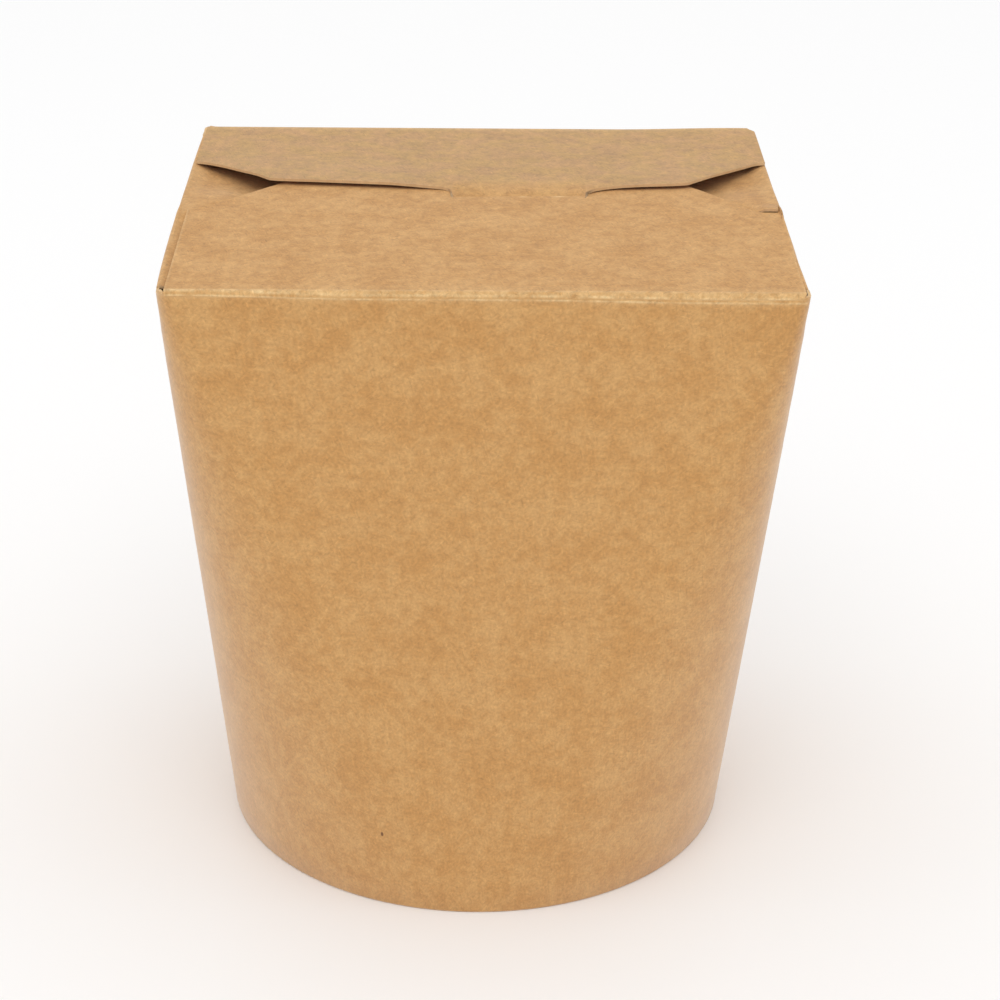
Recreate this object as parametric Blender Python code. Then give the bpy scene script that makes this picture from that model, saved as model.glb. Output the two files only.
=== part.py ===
"""A shut noodle takeaway box of kraft board, standing on its round foot.

One sheet of board makes the wall and the four flaps on top, so they are one solid.
The round base is a second piece of board, set up inside the foot.
Metres, +Z up. The origin is on the ground under the middle of the box, and -Y is the front.
"""

import math

import bmesh
import bpy

# Driving dimensions
BOARD = 0.00045  # thickness of the kraft board
TOP_WIDTH = 0.0980  # over the side folds, along X
TOP_DEPTH = 0.0850  # over the front and back walls at the top, along Y
TOP_HEIGHT = 0.1094  # from the ground to the face of the front flap
FOOT_RADIUS = 0.0434  # outside of the round foot

# The foot: the wall is turned in and up round the base, as a hem
HEM_WIDTH = 0.0015
HEM_ROUNDING = 0.0004
BASE_INSET = 0.0050  # from the ground up to the board above the base
FIT_GAP = 0.0003  # between the base and the board round it

# The upright corners, and the folds along the top
CORNER_RADII = (0.0010, 0.0010, 0.0018, 0.0008)  # back right, then anticlockwise
SIDE_FOLD_RADIUS = 0.0005
FLAP_FOLD_RADIUS = 0.0008
FOLD_PROUD = 0.00013  # the creased board stands this far out from the wall
FOLD_DEPTH = 0.0018  # from the flap's face down to the foot of the crease
FOLD_ROOT = 0.0008  # how far the crease's lower end runs into the wall

# The side walls bow out towards their folds, more at the front left and the back right
BOW_START = 0.076
BOW_TOP = 0.109
LEFT_BOW = 0.00042
LEFT_BOW_FRONT = 0.00022
RIGHT_BOW = 0.00022
RIGHT_BOW_BACK = 0.00024

# The lapped and glued seam of the wall, on the back beside the right corner
LAP_WIDTH = 0.0100
LAP_FADE = 0.0070  # over this width the outer layer comes down to the wall
LAP_EDGE = 0.0002  # width of the step at the lap's cut edge
LAP_TOP = 0.0080  # over this height the lap sinks in below the back fold

# The front flap's free edge in plan, from left to right, as X and Y
FRONT_EDGE = (
    (-0.0477, -0.0046),
    (-0.0456, -0.0039),
    (-0.0346, 0.0084),
    (-0.0315, 0.0120),
    (0.0325, 0.0120),
    (0.0354, 0.0088),
    (0.0391, 0.0041),
    (0.0449, -0.0040),
    (0.0486, -0.0051),
)

# The back flap's free edge in plan. Its tongue is the part between the two hooks
BACK_EDGE = (
    (-0.0486, 0.0215),
    (-0.0476, 0.0213),
    (-0.0437, 0.0182),
    (-0.0404, 0.0144),
    (-0.0353, 0.0093),
    (-0.0281, 0.0085),
    (-0.0166, 0.0073),
    (-0.0070, 0.0067),
    (-0.0056, 0.0059),
    (-0.0049, 0.0038),
    (-0.0046, 0.0010),
    (0.0172, 0.0010),
    (0.0175, 0.0044),
    (0.0191, 0.0060),
    (0.0230, 0.0073),
    (0.0346, 0.0083),
    (0.0374, 0.0110),
    (0.0440, 0.0184),
    (0.0469, 0.0216),
    (0.0491, 0.0225),
)

# How the back flap lies on the front flap
SEAT = 0.00005  # a flap is pressed this far into the board under it
SLIT_Y = 0.0035  # here its tongue goes down through the slit in the front flap
TONGUE_START = 0.0095  # from here its tongue bends down
TONGUE_LEFT = -0.0052
TONGUE_RIGHT = 0.0179
LIFT_LEFT = 0.00069  # its knees stand this far off the front flap
LIFT_RIGHT = 0.00057
LIFT_GROWTH = 0.0110  # over this width from the tongue the edge rises to that
LIFT_LENGTH = 0.0160  # over this length behind the edge the lift dies away
BACK_CLIMB = 0.0260  # over this length from its fold it climbs onto the front flap
BACK_RISE = 0.0005  # its fold stands this far over the front flap's face on the right
BACK_RISE_START = 0.0240
BACK_RISE_END = 0.0460
SIDE_CLIMB = 0.0120  # over this width from each tip it climbs onto the front flap
UNDERCUT = 0.0040  # this far in from its edge it stands clear of what is under it

# The side flaps slope down under the others, and show in a gap on each side
SIDE_SLOPE = 0.15
POCKET_OUT = 0.0479
POCKET_IN = 0.0300
POCKET_FRONT = -0.0080
POCKET_BACK_OUT = 0.0250
POCKET_BACK_IN = 0.0150
CUT_OVER = 0.0010

# How finely the shapes are divided
EIGHTH_STEPS = 12
CROWDING = 1.5  # above 1, the divisions crowd towards the corners
WALL_ROWS = 10
FOLD_STEPS = 4
HEM_STEPS = 2
FLAP_COLUMN = 0.0045  # widest column of a flap
FLAP_ROWS = 7
SMOOTH_ANGLE = math.radians(28)

SEAT_Z = TOP_HEIGHT - BOARD  # the side flaps lie one board lower than the front flap
TURN = 8  # positions round the wall are counted in eighths of a turn
CORNERS = (1, 3, 5, 7)
SIDE_MIDDLES = (0, 4, 8)


def clear_scene():
    for item in list(bpy.data.objects):
        bpy.data.objects.remove(item, do_unlink=True)


def smooth(share):
    """An even S-shaped rise from 0 to 1."""
    share = min(1.0, max(0.0, share))
    return share * share * (3 - 2 * share)


def edge_at(points, x):
    """Y of the outline at x, straight between its points."""
    for (x0, y0), (x1, y1) in zip(points, points[1:]):
        if x <= x1:
            return y0 + (y1 - y0) * (x - x0) / (x1 - x0)
    return points[-1][1]


def board_material(name, colour, roughness):
    material = bpy.data.materials.new(name)
    material.use_nodes = True
    shader = material.node_tree.nodes["Principled BSDF"]
    shader.inputs["Base Color"].default_value = (*colour, 1.0)
    shader.inputs["Roughness"].default_value = roughness
    shader.inputs["Metallic"].default_value = 0.0
    return material


def add_object(name, bm):
    """Turn a bmesh into an object, with its faces pointing out."""
    bmesh.ops.recalc_face_normals(bm, faces=bm.faces)
    mesh = bpy.data.meshes.new(name)
    bm.to_mesh(mesh)
    bm.free()
    item = bpy.data.objects.new(name, mesh)
    bpy.context.scene.collection.objects.link(item)
    return item


def loft(name, rings):
    """A closed body through rings of equal length, capped at both ends."""
    bm = bmesh.new()
    rows = [[bm.verts.new(point) for point in ring] for ring in rings]
    for row, following in zip(rows, rows[1:]):
        for k in range(len(row)):
            after = (k + 1) % len(row)
            bm.faces.new((row[k], row[after], following[after], following[k]))
    bm.faces.new(rows[0])
    bm.faces.new(rows[-1])
    return add_object(name, bm)


def combine(body, other, operation):
    """Join the other object to the body, or cut it away, and remove it."""
    modifier = body.modifiers.new(operation.title(), "BOOLEAN")
    modifier.operation = operation
    modifier.solver = "EXACT"
    modifier.object = other
    depsgraph = bpy.context.evaluated_depsgraph_get()
    result = bpy.data.meshes.new_from_object(body.evaluated_get(depsgraph))
    body.modifiers.remove(modifier)
    body.data = result
    bpy.data.objects.remove(other, do_unlink=True)


def corner_quadrant(along, half_x, half_y, radius):
    """A point and its outward normal, in the +X +Y quarter of a rounded rectangle.

    along is 0 in the middle of the right side, 1 at the corner, 2 in the middle of the back.
    """
    quarter_arc = radius * math.pi / 4
    if along <= 1:
        run = along * (half_y + quarter_arc)
        if run <= half_y:
            return half_x + radius, run, 1.0, 0.0
        turn = (run - half_y) / radius
    else:
        run = (2 - along) * (half_x + quarter_arc)
        if run <= half_x:
            return run, half_y + radius, 0.0, 1.0
        turn = math.pi / 2 - (run - half_x) / radius
    c, s = math.cos(turn), math.sin(turn)
    return half_x + radius * c, half_y + radius * s, c, s


def section_point(along, share, inset, offset):
    """X and Y at `along` eighths round the wall, moved in by inset and out by offset.

    The section is a circle at the foot, where share is 0, and a rectangle at the top.
    """
    quadrant = int(along % TURN // 2)
    local = along % TURN - 2 * quadrant
    corner = CORNER_RADII[quadrant]
    radius = (1 - share) * FOOT_RADIUS + share * corner
    tighter = max(radius - inset, corner / 4)
    left_over = inset - (radius - tighter)
    half_x = share * (TOP_WIDTH / 2 - corner) - left_over
    half_y = share * (TOP_DEPTH / 2 - corner) - left_over
    if quadrant % 2:
        local = 2 - local
    x, y, nx, ny = corner_quadrant(local, half_x, half_y, tighter)
    sign_x = -1 if quadrant in (1, 2) else 1
    sign_y = -1 if quadrant in (2, 3) else 1
    return sign_x * (x + nx * offset), sign_y * (y + ny * offset)


def lap_place():
    """Where the lap's edge is, in eighths round the wall."""
    return 1 + LAP_WIDTH / (TOP_WIDTH / 2)


def lap_offset(along, z):
    """How far the seam's outer layer stands off the wall."""
    fade_width = LAP_FADE / (TOP_DEPTH / 2)
    into_fade = (along - (1 - fade_width)) / fade_width
    if along > lap_place() or into_fade < 0:
        return 0.0
    return BOARD * smooth(into_fade) * smooth((TOP_HEIGHT - FOLD_DEPTH - z) / LAP_TOP)


def side_bow(x, y, z):
    """How far a side wall stands out further than the straight taper."""
    if x < 0:
        amount = LEFT_BOW + LEFT_BOW_FRONT * smooth(-y / (TOP_DEPTH / 4))
    else:
        amount = RIGHT_BOW + RIGHT_BOW_BACK * smooth(y / (TOP_DEPTH / 4))
    fade = max(0.0, 1 - (2 * y / TOP_DEPTH) ** 4)
    return amount * fade * smooth((z - BOW_START) / (BOW_TOP - BOW_START))


def wall_point(along, z, inset=0.0):
    """A point of the wall's outer face."""
    x, y = section_point(along, z / TOP_HEIGHT, inset, lap_offset(along, z))
    if min(abs(along % TURN - middle) for middle in SIDE_MIDDLES) < 1:
        x += math.copysign(side_bow(x, y, z), x)
    return x, y, z


def places_round():
    """Positions round the wall, closer together at the corners, with the step of the lap."""
    shares = [1 - (1 - k / EIGHTH_STEPS) ** CROWDING for k in range(EIGHTH_STEPS)]
    places = []
    for corner in CORNERS:
        places += [corner - 1 + share for share in shares]
        places += [corner + 1 - share for share in shares[1:]]
        places.append(corner)
    places.append(lap_place())
    places.append(lap_place() + LAP_EDGE / (TOP_WIDTH / 2))
    return sorted(places)


def circle_point(along, radius, z):
    turn = along / TURN * math.tau
    return radius * math.cos(turn), radius * math.sin(turn), z


def hem_profile():
    """Radius and Z from the recess under the base to the outside of the foot."""
    inner = FOOT_RADIUS - HEM_WIDTH
    profile = [(inner, BASE_INSET)]
    for side, middle in ((-1, inner + HEM_ROUNDING), (1, FOOT_RADIUS - HEM_ROUNDING)):
        for step in range(HEM_STEPS + 1):
            lean = step / HEM_STEPS if side > 0 else 1 - step / HEM_STEPS
            turn = lean * math.pi / 2
            radius = middle + side * HEM_ROUNDING * math.sin(turn)
            profile.append((radius, HEM_ROUNDING * (1 - math.cos(turn))))
    return profile[:-1]


def make_core():
    """The wall with all that is inside it, up to the face of the side flaps."""
    places = places_round()
    rings = [[circle_point(a, radius, z) for a in places] for radius, z in hem_profile()]
    fold_foot = SEAT_Z - SIDE_FOLD_RADIUS
    for row in range(WALL_ROWS + 1):
        z = HEM_ROUNDING + (fold_foot - HEM_ROUNDING) * row / WALL_ROWS
        rings.append([wall_point(a, z) for a in places])
    for step in range(1, FOLD_STEPS + 1):
        turn = step / FOLD_STEPS * math.pi / 2
        inset = SIDE_FOLD_RADIUS * (1 - math.cos(turn))
        z = fold_foot + SIDE_FOLD_RADIUS * math.sin(turn)
        rings.append([wall_point(a, z, inset) for a in places])
    return loft("carton", rings)


def make_pocket(side):
    """The space over a side flap's slope. side is -1 on the left and 1 on the right."""
    drop = SIDE_SLOPE * (POCKET_OUT - POCKET_IN)
    plan = (
        (POCKET_OUT, POCKET_FRONT, 0.0),
        (POCKET_OUT, POCKET_BACK_OUT, 0.0),
        (POCKET_IN, POCKET_BACK_IN, drop),
        (POCKET_IN, POCKET_FRONT, drop),
    )
    floor = [(side * x, y, SEAT_Z - down) for x, y, down in plan]
    above = [(side * x, y, SEAT_Z + CUT_OVER) for x, y, down in plan]
    return loft("pocket", [floor, above])


def fold_profile():
    """Distance from the middle of the box, and Z, up and over a flap's fold."""
    half = TOP_DEPTH / 2
    outside = half + FOLD_PROUD
    points = [
        (half - FOLD_ROOT, TOP_HEIGHT - FOLD_DEPTH),
        (outside, TOP_HEIGHT - FOLD_DEPTH + FOLD_ROOT / 2),
    ]
    for step in range(FOLD_STEPS):
        turn = step / FOLD_STEPS * math.pi / 2
        reach = outside - FLAP_FOLD_RADIUS * (1 - math.cos(turn))
        points.append((reach, TOP_HEIGHT - FLAP_FOLD_RADIUS * (1 - math.sin(turn))))
    return points


def columns_between(edge):
    """X of each column of a flap: every turn of its edge, and even steps between them."""
    columns = []
    for (x0, _), (x1, _) in zip(edge, edge[1:]):
        count = max(1, math.ceil((x1 - x0) / FLAP_COLUMN))
        columns += [x0 + (x1 - x0) * k / count for k in range(count)]
    columns.append(edge[-1][0])
    return columns


def make_flap(name, edge, side, height, undercut):
    """A flap with its fold. side is -1 at the front and 1 at the back.

    height gives the upper face's Z at x and y, and undercut how far in from the edge the
    flap stands clear of what is under it.
    """
    rings = []
    top_start = TOP_DEPTH / 2 + FOLD_PROUD - FLAP_FOLD_RADIUS
    for x in columns_between(edge):
        free = edge_at(edge, x)
        clear = free + side * undercut(x)
        ring = [(x, side * out, z) for out, z in fold_profile()]
        for row in range(FLAP_ROWS + 1):
            y = side * top_start + (free - side * top_start) * smooth_rows(row)
            ring.append((x, y, height(x, y)))
        ring.append((x, free, height(x, free) - BOARD - SEAT))
        ring.append((x, clear, height(x, clear) - BOARD - SEAT))
        ring.append((x, clear, SEAT_Z - 2 * SEAT))
        ring.append((x, side * (top_start - FOLD_ROOT), SEAT_Z - 2 * SEAT))
        rings.append(ring)
    return loft(name, rings)


def smooth_rows(row):
    """Rows of a flap crowd towards its free edge."""
    return 1 - (1 - row / FLAP_ROWS) ** CROWDING


def front_height(x, y):
    """The front flap lies flat."""
    return TOP_HEIGHT


def front_undercut(x):
    """The front flap rests on its seat up to its edge."""
    return SEAT


def back_lift(x):
    """How far the back flap's edge stands off the front flap. It grows from the tongue."""
    if x < TONGUE_LEFT:
        return LIFT_LEFT * smooth((TONGUE_LEFT - x) / LIFT_GROWTH)
    return LIFT_RIGHT * smooth((x - TONGUE_RIGHT) / LIFT_GROWTH)


def back_height(x, y):
    """The back flap climbs onto the front one, is lifted at its knees, and its tongue dips."""
    from_fold = TOP_DEPTH / 2 - FLAP_FOLD_RADIUS - y
    from_tip = min(x - BACK_EDGE[0][0], BACK_EDGE[-1][0] - x)
    climbed = smooth(from_fold / BACK_CLIMB)
    lying = smooth(from_tip / SIDE_CLIMB)
    near_edge = smooth(1 - (y - edge_at(BACK_EDGE, x)) / LIFT_LENGTH)
    rise = BOARD * climbed * lying + back_lift(x) * near_edge * lying
    raised = smooth((x - BACK_RISE_START) / (BACK_RISE_END - BACK_RISE_START))
    rise += BACK_RISE * raised * (1 - climbed)
    if TONGUE_LEFT <= x <= TONGUE_RIGHT and y < TONGUE_START:
        rise -= BOARD * (TONGUE_START - y) / (TONGUE_START - SLIT_Y)
    return TOP_HEIGHT + rise


def back_undercut(x):
    """The back flap stands clear of the board under it, except at its tongue and tips."""
    beside = max(TONGUE_LEFT - x, x - TONGUE_RIGHT, 0.0)
    return max(UNDERCUT * smooth(beside / UNDERCUT), SEAT)


def make_carton(material):
    """The whole folded sheet."""
    carton = make_core()
    for side in (-1, 1):
        combine(carton, make_pocket(side), "DIFFERENCE")
    front = make_flap("front_flap", FRONT_EDGE, -1, front_height, front_undercut)
    combine(carton, front, "UNION")
    back = make_flap("back_flap", BACK_EDGE, 1, back_height, back_undercut)
    combine(carton, back, "UNION")
    finish(carton, material)
    return carton


def make_base(material):
    """The round base, up inside the foot."""
    bm = bmesh.new()
    radius = FOOT_RADIUS - HEM_WIDTH - FIT_GAP
    bmesh.ops.create_cone(
        bm, cap_ends=True, segments=TURN * EIGHTH_STEPS, radius1=radius, radius2=radius, depth=BOARD
    )
    base = add_object("base_disc", bm)
    base.location.z = BASE_INSET - FIT_GAP - BOARD / 2
    finish(base, material)
    return base


def finish(item, material):
    item.data.materials.clear()
    item.data.materials.append(material)
    item.data.shade_smooth()
    item.data.set_sharp_from_angle(angle=SMOOTH_ANGLE)


def main():
    clear_scene()
    make_carton(board_material("kraft board", (0.60, 0.32, 0.12), 0.85))
    make_base(board_material("kraft base board", (0.52, 0.28, 0.11), 0.85))


main()
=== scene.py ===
import math

import bmesh
import bpy
from mathutils import Matrix, Vector, noise


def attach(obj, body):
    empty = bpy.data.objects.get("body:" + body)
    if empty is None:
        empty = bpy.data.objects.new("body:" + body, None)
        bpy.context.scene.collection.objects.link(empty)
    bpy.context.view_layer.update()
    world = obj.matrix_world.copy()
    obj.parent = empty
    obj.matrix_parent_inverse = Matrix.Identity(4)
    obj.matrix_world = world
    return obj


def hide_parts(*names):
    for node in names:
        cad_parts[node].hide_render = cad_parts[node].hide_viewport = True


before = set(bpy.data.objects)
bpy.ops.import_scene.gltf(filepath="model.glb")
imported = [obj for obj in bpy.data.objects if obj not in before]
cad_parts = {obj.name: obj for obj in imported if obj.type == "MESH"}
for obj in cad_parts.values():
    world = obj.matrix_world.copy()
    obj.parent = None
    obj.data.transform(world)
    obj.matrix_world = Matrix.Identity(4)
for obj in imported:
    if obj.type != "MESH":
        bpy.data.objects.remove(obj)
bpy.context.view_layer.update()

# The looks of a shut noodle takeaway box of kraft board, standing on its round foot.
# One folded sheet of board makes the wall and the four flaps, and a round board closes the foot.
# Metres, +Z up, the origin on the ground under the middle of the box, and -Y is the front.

MM = 0.001

# The box's sizes, as the CAD source has them
BOARD = 0.45 * MM
TOP_WIDTH = 98.0 * MM
TOP_DEPTH = 85.0 * MM
TOP_HEIGHT = 109.4 * MM
FOOT_RADIUS = 43.4 * MM
HEM_WIDTH = 1.5 * MM
HEM_ROUNDING = 0.4 * MM
CORNER_RADII = (1.0 * MM, 1.0 * MM, 1.8 * MM, 0.8 * MM)  # back right, then anticlockwise
SIDE_FOLD_RADIUS = 0.5 * MM
FLAP_FOLD_RADIUS = 0.8 * MM
LAP_WIDTH = 10.0 * MM
LAP_FADE = 7.0 * MM
LAP_TOP = 8.0 * MM
SEAT_Z = TOP_HEIGHT - BOARD
SPLIT_Z = TOP_HEIGHT - 1.0 * MM  # above this the four flaps are cut apart at the corners
FULLNESS = 0.1 * MM  # how far the wall swells between the foot and the top
FOLD_PROUD = 0.05 * MM  # how far the front and back folds stand out over the wall
FOLD_SHARE = 0.93  # about how far towards the wall's corners a side flap's fold reaches

# Rows of the sheet, from the turned-in edge up to the creases
HEM_START = -6.2 * MM  # the turned-in edge's place on the sheet
HEM_HEIGHTS = (4.1, 3.5, 2.6, 1.7, 0.9)  # in millimetres, down the inside
HEM_STEPS = 3  # in each of the two roundings under the foot
PUCKERS = 58  # small folds round the turned-in edge
WALL_TOP = TOP_HEIGHT - 2.6 * MM  # the even steps of the wall end here
WALL_STEPS = 20
CREASE_DROPS = (2.1, 1.7, 1.5, 1.35, 1.25, 1.15, 1.08)  # in millimetres, below the top
CREASE_GROOVE = 0.36 * MM  # its height over the crease's lower line
CREASE_UPPER = 0.66 * MM  # the upper line's height over the lower one

# Free edges in plan, in millimetres
FRONT_REACH = 12.0
FRONT_EDGE = (
    (-47.7, -4.6), (-45.6, -3.9), (-34.6, 8.4), (-31.5, FRONT_REACH),
    (32.5, FRONT_REACH), (35.4, 8.8), (39.1, 4.1), (44.8, -3.9), (45.5, -4.15), (48.5, -4.2),
    (48.95, -6.6),
)
BACK_EDGE = (
    (-48.6, 21.5), (-47.6, 21.3), (-45.9, 20.3), (-43.7, 18.2), (-40.4, 14.4), (-37.3, 11.5),
    (-35.3, 9.3), (-33.8, 8.95), (-28.1, 8.5), (-22.4, 7.9), (-16.6, 7.25), (-12.8, 6.9),
    (-8.5, 6.75), (-7.0, 6.65), (-6.2, 6.4), (-5.45, 5.9), (-5.0, 4.9), (-4.7, 3.8), (-4.45, 1.0),
    (16.9, 1.0), (17.1, 4.0), (17.75, 4.8), (18.8, 5.6), (20.5, 6.5), (23.0, 7.05), (28.0, 7.4),
    (32.4, 7.8), (34.6, 8.25), (37.4, 11.0), (40.7, 14.6), (44.0, 18.4), (46.9, 21.6), (47.8, 22.2),
    (49.2, 22.5),
)
BACK_BODY_EDGE = (
    (-48.6, 21.5), (-35.3, 9.0), (-7.0, 6.9), (19.1, 6.9), (34.6, 8.25), (49.2, 22.5),
)

# How the back flap lies on the front one, and its tongue in the front one's slit
SLIT_Y = 3.45 * MM
SLIT_SLANT = 0.04  # it runs a little further back on the right
SLIT_WIDTH = 0.15 * MM
SLIT_SPARE = 0.2 * MM  # how far the slit's ends are cut past the tongue
TONGUE_START = 9.5 * MM
TONGUE_ENDS = (-5.05 * MM, 17.5 * MM)
TONGUE_MIDDLE = sum(TONGUE_ENDS) / 2
TONGUE_DROP = 0.95 * MM
TONGUE_SWAY = 1.0 * MM
LIFTS = (0.64 * MM, 0.54 * MM)
LIFT_GROWTH = 11.0 * MM
LIFT_LENGTH = 16.0 * MM
BACK_CLIMB = 26.0 * MM
BACK_TIP = 48.6 * MM  # its pointed ends, from the middle of the box
BACK_ROWS = 36
SIDE_CLIMB = 12.0 * MM
PRESSED = 0.02 * MM
EDGE_INWARD = {"front": 36.0 * MM, "back": 20.0 * MM}  # a free edge is looked up for this reach

# The side flaps, which slope down under the other two
SIDE_SLOPE = 0.13
SIDE_DIP = 0.25 * MM
SIDE_HOLLOW = 0.4 * MM
SIDE_REACH = 20.0 * MM  # from the middle of the box to their free edges
SIDE_RAISED = -0.05 * MM  # beside the front flap's shoulders, from the height of its face
SIDE_TAPER = 3.0 * MM
SIDE_ROWS = 22
SIDE_CROWDING = 1.4  # their rows lie closer at the fold
SIDE_WING = 1.2 * MM  # they carry on by two such steps under the front and back flaps
WING_START = 0.6 * MM  # from their folds
WING_SLOPE = 0.42
LIP_Y = -3.95 * MM  # the right one is slit here, and stands up behind the front flap's shoulder
LIP_HEIGHT = 0.53 * MM
LIP_LENGTH = 5.0 * MM
LIP_INWARD = 4.0 * MM
LIP_SLIT = (0.2 * MM, LIP_INWARD + 0.6 * MM)  # where that slit starts and ends, from the fold

# Sheet coordinates: the length of an eighth of the way round, beside and in front
EIGHTH_SIDE = 38.2 * MM
EIGHTH_FRONT = 41.4 * MM
TURN = 8  # eighths in a whole turn

# Each panel: where its middle is in eighths round the wall, the way out and the way across
PANELS = {
    "front": (6, (0, -1), (1, 0)),
    "right": (8, (1, 0), (0, 1)),
    "back": (10, (0, 1), (-1, 0)),
    "left": (12, (-1, 0), (0, -1)),
}
NEXT = {"front": "right", "right": "back", "back": "left", "left": "front"}


def smooth(share):
    share = min(1.0, max(0.0, share))
    return share * share * (3 - 2 * share)


def bell(value, middle, width):
    return math.exp(-(((value - middle) / width) ** 2))


def spread(*keys):
    """Places from key to key, in metres. A key is a place and the widest step after it, in mm."""
    places = []
    for (start, step), (end, _) in zip(keys, keys[1:]):
        count = max(1, math.ceil((end - start) / step - 1e-6))
        places += [(start + (end - start) * k / count) * MM for k in range(count)]
    places.append(keys[-1][0] * MM)
    return places


def edge_at(points, x):
    """Y of a free edge at x. Points are in millimetres, x and the result in metres."""
    x /= MM
    for (x0, y0), (x1, y1) in zip(points, points[1:]):
        if x <= x1:
            return (y0 + (y1 - y0) * max(0.0, x - x0) / (x1 - x0)) * MM
    return points[-1][1] * MM


def rounded_edge_at(points, x, window):
    """The free edge with its turns rounded over the window."""
    offsets = (-1.0, -0.5, 0.0, 0.5, 1.0)
    return sum(edge_at(points, x + k * window) for k in offsets) / len(offsets)


# Columns across each panel, from corner to corner, and how far its flap's fold reaches
COLUMNS = {
    "front": spread(
        (-48.65, 0.2), (-47.6, 0.25), (-47.0, 0.45), (-44.5, 1.0), (-37.0, 0.4), (-31.0, 1.2),
        (-6.5, 0.3), (-4.0, 0.8), (5.0, 0.3), (14.0, 0.5), (16.5, 0.3), (19.5, 1.2), (31.0, 0.4),
        (36.5, 1.0), (43.0, 0.4), (47.0, 0.2), (48.65, 1),
    ),
    "right": spread(
        (-42.2, 0.2), (-38.8, 0.3), (-37.0, 1.3), (-7.0, 0.5), (-4.4, 0.07), (-3.3, 0.4),
        (3.0, 1.3), (37.0, 0.3), (38.8, 0.2), (42.2, 1),
    ),
    "back": spread(
        (-48.65, 0.2), (-47.0, 0.6), (-38.69, 0.02), (-38.67, 0.6), (-33.0, 1.0), (-23.0, 0.5),
        (-19.5, 0.2), (-16.8, 0.5), (-15.5, 1.0), (3.0, 0.35), (4.4, 0.1), (5.8, 0.2), (7.5, 0.5),
        (10.0, 1.0), (32.0, 0.5), (37.0, 0.8), (47.0, 0.2), (48.65, 1),
    ),
    "left": spread(
        (-42.2, 0.2), (-38.8, 0.3), (-37.0, 1.3), (-10.0, 0.6), (10.0, 1.3), (37.0, 0.3),
        (38.8, 0.2), (42.2, 1),
    ),
}
FOLD_REACH = {"front": 47.61 * MM, "back": 47.61 * MM, "right": 38.81 * MM, "left": 38.81 * MM}

# The wall's cut tip at the end of each panel. Tips are heights from the front flap's face, and drops
# are how far the cut beside the tip, and at its two ends, lies below the side flaps' seat
CORNER_TIPS = {"front": -0.5 * MM, "right": -0.3 * MM, "back": -0.1 * MM, "left": -0.15 * MM}
CORNER_DROPS = {"front": 0.1 * MM, "right": 0.1 * MM, "back": 0.1 * MM, "left": 0.5 * MM}
CORNER_END_DROP = 0.35 * MM
CORNER_TIP_WIDTH = 1.2 * MM
CORNER_STEPS = 4


def corner_quadrant(along, half_x, half_y, radius):
    """A point and its outward normal, in the +X +Y quarter of a rounded rectangle."""
    quarter_arc = radius * math.pi / 4
    if along <= 1:
        run = along * (half_y + quarter_arc)
        if run <= half_y:
            return half_x + radius, run, 1.0, 0.0
        turn = (run - half_y) / radius
    else:
        run = (2 - along) * (half_x + quarter_arc)
        if run <= half_x:
            return run, half_y + radius, 0.0, 1.0
        turn = math.pi / 2 - (run - half_x) / radius
    c, s = math.cos(turn), math.sin(turn)
    return half_x + radius * c, half_y + radius * s, c, s


def section_point(along, up, offset):
    """X and Y at a place round the wall. The foot is a circle, and the top a rectangle."""
    quadrant = int(along % TURN // 2)
    local = along % TURN - 2 * quadrant
    radius = (1 - up) * FOOT_RADIUS + up * CORNER_RADII[quadrant]
    half_x = up * (TOP_WIDTH / 2 - CORNER_RADII[quadrant])
    half_y = up * (TOP_DEPTH / 2 - CORNER_RADII[quadrant])
    if quadrant % 2:
        local = 2 - local
    x, y, nx, ny = corner_quadrant(local, half_x, half_y, radius)
    sign_x = -1 if quadrant in (1, 2) else 1
    sign_y = -1 if quadrant in (2, 3) else 1
    return sign_x * (x + nx * offset), sign_y * (y + ny * offset)


def lap_place():
    """The glued seam's cut edge, on the back beside the right corner."""
    return 1 + LAP_WIDTH / (TOP_WIDTH / 2)


def lap_offset(along, z):
    """How far the glued seam's outer layer stands off the wall."""
    along %= TURN
    fade_width = LAP_FADE / (TOP_DEPTH / 2)
    into_fade = (along - (1 - fade_width)) / fade_width
    if along > lap_place() or into_fade < 0:
        return 0.0
    return BOARD * smooth(into_fade) * smooth((SPLIT_Z - z) / LAP_TOP)


def wall_point(along, panel, share, z):
    """A point of the wall's outer face."""
    up = z / TOP_HEIGHT
    waves = 0.05 * MM * noise.noise(Vector((along * 1.7, z * 28, 3.1)))
    held = smooth(z / (14 * MM)) * smooth((SPLIT_Z - z) / (14 * MM))
    swell = FULLNESS * math.sin(math.pi * min(1.0, up) ** 1.5) + waves * held
    x, y = section_point(along, up, lap_offset(along, z) + swell)
    out = bow(panel, share, z) + ridge(panel, share, z)
    _, (ox, oy), _ = PANELS[panel]
    return x + ox * out, y + oy * out, z


def bow(panel, share, z):
    """The side walls bow out along their folds."""
    across = share * COLUMNS[panel][-1] / MM
    if panel == "left":
        amount = 0.36 + 0.2 * smooth((across - 2) / 14)
    elif panel == "right":
        amount = 0.2 + 0.22 * smooth((across - 12) / 20) - 0.2 * bell(across, -30, 7)
    else:
        return 0.0
    return amount * MM * max(0.0, 1 - share ** 4) * smooth((z / MM - 76) / 33)


def crease_line(panel, across):
    """How far the lower line of a flap's crease is below the fold's top."""
    if panel == "front":
        left = smooth((-18 * MM - across) / (26 * MM))
        right = smooth((across - 5 * MM) / (30 * MM))
        return (1.15 - 0.5 * left + 0.3 * right) * MM
    return 1.1 * MM


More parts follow.
